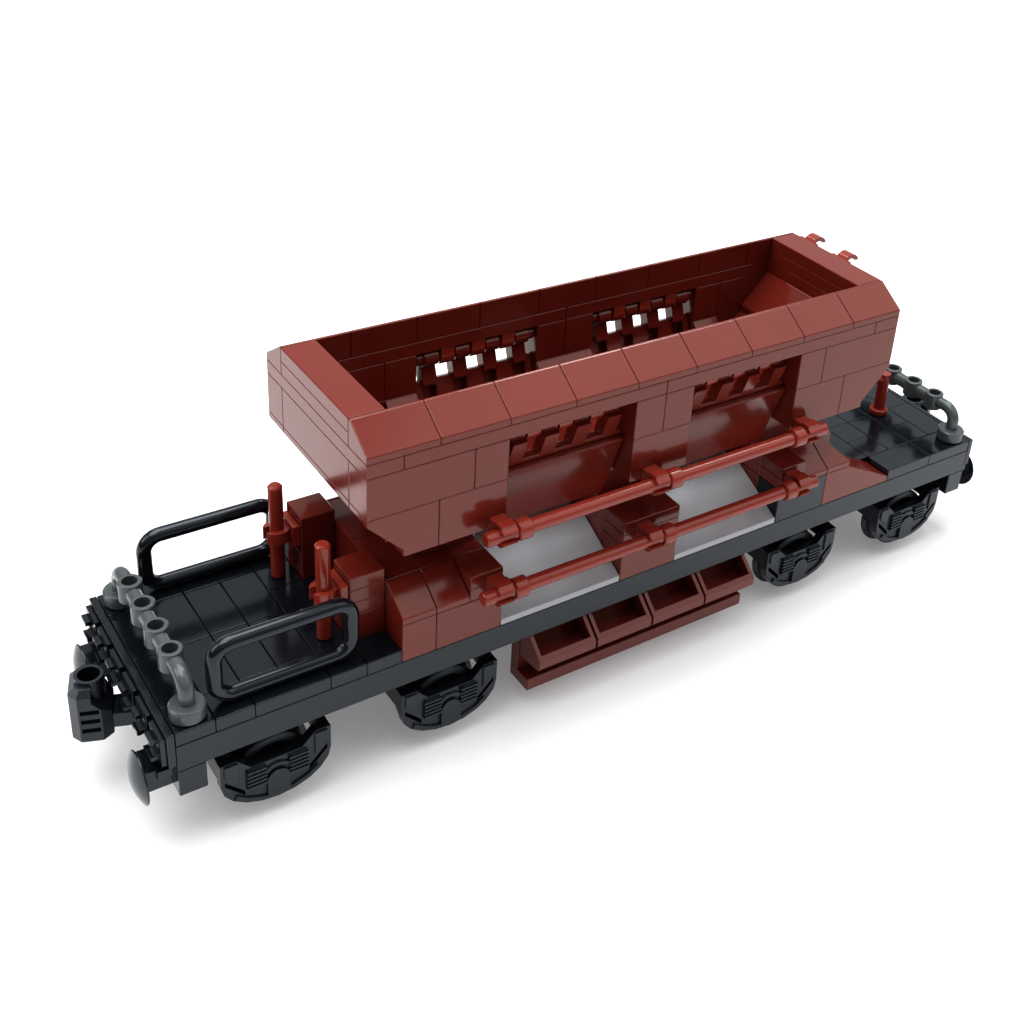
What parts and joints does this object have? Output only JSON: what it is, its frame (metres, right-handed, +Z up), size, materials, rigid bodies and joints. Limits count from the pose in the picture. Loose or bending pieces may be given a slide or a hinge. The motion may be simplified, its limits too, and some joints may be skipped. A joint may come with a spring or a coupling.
{
  "type": "model hopper wagon",
  "caption": "Bogie hopper wagon of interlocking plastic bricks on a long flat base, with side discharge doors, chutes and swivelling couplers.",
  "frame": {"origin": "on the rail line under the middle of the wagon, where the wheel flanges stand", "axes": "+X along the wagon towards the end without guard hoops, +Y across it, +Z up"},
  "size_m": [0.2496, 0.0606, 0.0853],
  "materials": {
    "brick_red": "gloss",
    "brick_black": "gloss",
    "chute_grey": "gloss",
    "rail_grey": "gloss",
    "rod_red": "gloss",
    "trough_red": "gloss",
    "running_black": "satin",
    "axle_steel": "brushed"
  },
  "bodies": {
    "wagon_body": {"bar_clips": "rod_red", "base_frame": "brick_black", "bogie_pins": "brick_black", "brake_bar": "rod_red", "buffer_beam_left": "brick_black", "buffer_beam_right": "brick_black", "chutes": "chute_grey", "columns": "brick_red", "deck_tiles": "brick_black", "end_clips": "brick_black", "end_plates": "brick_black", "far_end_clips": "rod_red", "foot_slopes": "brick_red", "handrail_left": "rail_grey", "handrail_right": "rail_grey", "hinge_clips": "rod_red", "hoop_far": "brick_black", "hoop_near": "brick_black", "hopper_end_left": "brick_red", "hopper_end_right": "brick_red", "hopper_floor": "brick_red", "hopper_plates": "brick_red", "hopper_wall_far": "brick_red", "hopper_wall_near": "brick_red", "inner_slopes": "brick_red", "rim_ends": "brick_red", "rim_slopes_far": "brick_red", "rim_slopes_near": "brick_red", "rod_bars": "rod_red", "rod_blocks": "brick_red", "rod_connectors": "rod_red", "side_bricks_black": "brick_black", "side_slopes": "brick_red", "side_walls": "brick_red", "support_core": "brick_red", "trough_beams": "trough_red", "troughs": "trough_red", "upright_bars": "rod_red"},
    "bogie_left": {"bogie_frame_left": "running_black", "bogie_sides_left": "running_black"},
    "wheelset_left_outer": {"wheels_left_outer": "running_black", "axle_left_outer": "axle_steel"},
    "wheelset_left_inner": {"wheels_left_inner": "running_black", "axle_left_inner": "axle_steel"},
    "coupler_left": {"coupler_left": "running_black"},
    "door_near_left": {"door_panel_near_left": "brick_red", "door_carrier_near_left": "brick_red"},
    "door_far_left": {"door_panel_far_left": "brick_red", "door_carrier_far_left": "brick_red"},
    "bogie_right": {"bogie_frame_right": "running_black", "bogie_sides_right": "running_black"},
    "wheelset_right_outer": {"wheels_right_outer": "running_black", "axle_right_outer": "axle_steel"},
    "wheelset_right_inner": {"wheels_right_inner": "running_black", "axle_right_inner": "axle_steel"},
    "coupler_right": {"coupler_right": "running_black"},
    "door_near_right": {"door_panel_near_right": "brick_red", "door_carrier_near_right": "brick_red"},
    "door_far_right": {"door_panel_far_right": "brick_red", "door_carrier_far_right": "brick_red"}
  },
  "joints": [
    {"name": "bogie_left_swivel", "type": "hinge", "parent": "wagon_body", "child": "bogie_left", "pos_m": [-0.072, 0, 0.019], "axis": [0, 0, 1], "range_deg": [-6, 6]},
    {"name": "wheelset_left_outer_spin", "type": "hinge", "parent": "bogie_left", "child": "wheelset_left_outer", "pos_m": [-0.092, 0, 0.0096], "axis": [0, 1, 0], "continuous": true},
    {"name": "wheelset_left_inner_spin", "type": "hinge", "parent": "bogie_left", "child": "wheelset_left_inner", "pos_m": [-0.052, 0, 0.0096], "axis": [0, 1, 0], "continuous": true},
    {"name": "coupler_left_swing", "type": "hinge", "parent": "wagon_body", "child": "coupler_left", "pos_m": [-0.1092, 0, 0.0172], "axis": [0, 0, 1], "range_deg": [-4, 44]},
    {"name": "door_near_left_hinge", "type": "hinge", "parent": "wagon_body", "child": "door_near_left", "pos_m": [-0.024, -0.0184, 0.0728], "axis": [-1, 0, 0], "range_deg": [0, 24]},
    {"name": "door_far_left_hinge", "type": "hinge", "parent": "wagon_body", "child": "door_far_left", "pos_m": [-0.024, 0.0184, 0.0728], "axis": [1, 0, 0], "range_deg": [0, 24]},
    {"name": "bogie_right_swivel", "type": "hinge", "parent": "wagon_body", "child": "bogie_right", "pos_m": [0.072, 0, 0.019], "axis": [0, 0, 1], "range_deg": [-6, 6]},
    {"name": "wheelset_right_outer_spin", "type": "hinge", "parent": "bogie_right", "child": "wheelset_right_outer", "pos_m": [0.092, 0, 0.0096], "axis": [0, 1, 0], "continuous": true},
    {"name": "wheelset_right_inner_spin", "type": "hinge", "parent": "bogie_right", "child": "wheelset_right_inner", "pos_m": [0.052, 0, 0.0096], "axis": [0, 1, 0], "continuous": true},
    {"name": "coupler_right_swing", "type": "hinge", "parent": "wagon_body", "child": "coupler_right", "pos_m": [0.1092, 0, 0.0172], "axis": [0, 0, 1], "range_deg": [-44, 4]},
    {"name": "door_near_right_hinge", "type": "hinge", "parent": "wagon_body", "child": "door_near_right", "pos_m": [0.024, -0.0184, 0.0728], "axis": [-1, 0, 0], "range_deg": [0, 24]},
    {"name": "door_far_right_hinge", "type": "hinge", "parent": "wagon_body", "child": "door_far_right", "pos_m": [0.024, 0.0184, 0.0728], "axis": [1, 0, 0], "range_deg": [0, 24]}
  ]
}
